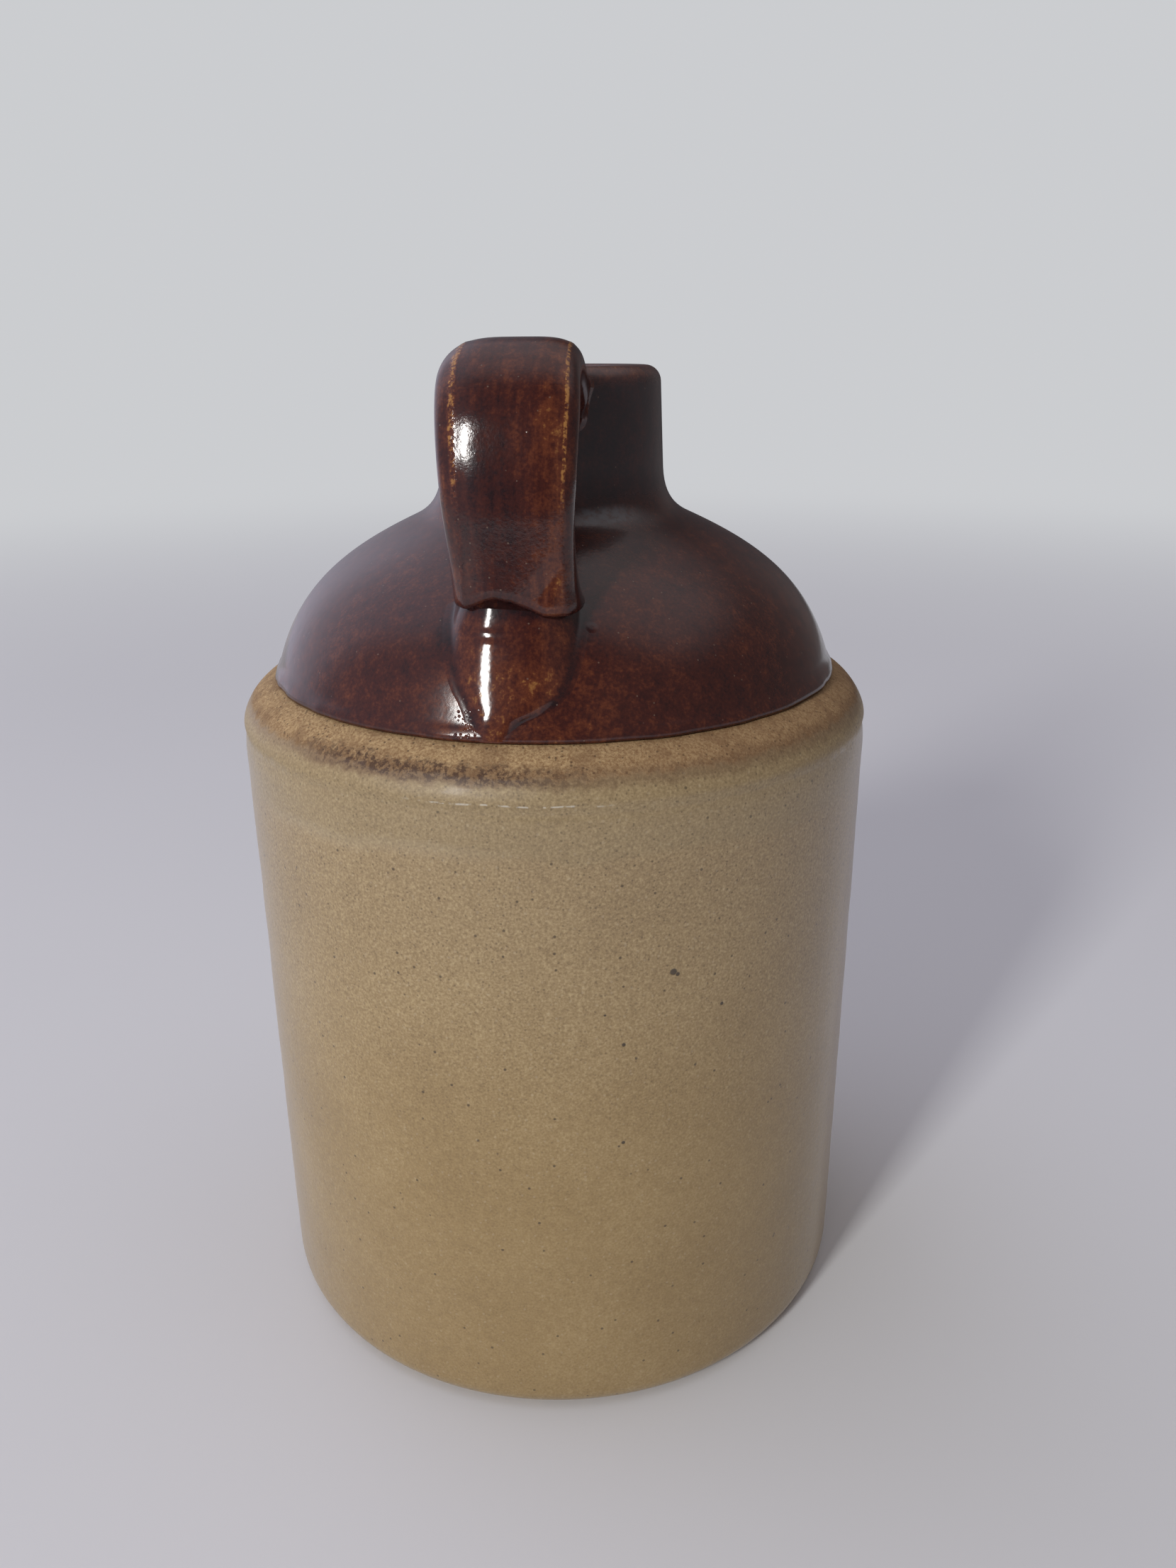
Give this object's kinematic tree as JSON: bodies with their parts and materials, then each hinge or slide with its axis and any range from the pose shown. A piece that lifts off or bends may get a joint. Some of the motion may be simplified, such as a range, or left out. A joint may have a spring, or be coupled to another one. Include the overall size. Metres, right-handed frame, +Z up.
{
  "type": "stoneware jug",
  "caption": "Straight-sided stoneware shoulder jug with a domed top, short plain neck and a strap handle with a finger loop, for storing and pouring liquids.",
  "frame": {"origin": "centre of the flat base, on the surface that the jug stands on", "axes": "+Z up along the jug's turning axis, the strap handle towards -Y, +X to the right as the handle faces the viewer"},
  "size_m": [0.088, 0.088, 0.1379],
  "materials": {
    "khaki_glaze": "khaki glaze with fine iron specks over stoneware, satin gloss, bare tan clay on the ledge and base",
    "brown_slip": "glossy brown slip glaze, amber where thin on edges and dark where it pools"
  },
  "bodies": {
    "root": {"body_pot": "khaki_glaze", "shoulder_dome": "brown_slip", "neck_collar": "brown_slip", "handle_strap": "brown_slip", "handle_tail": "brown_slip"}
  },
  "joints": []
}
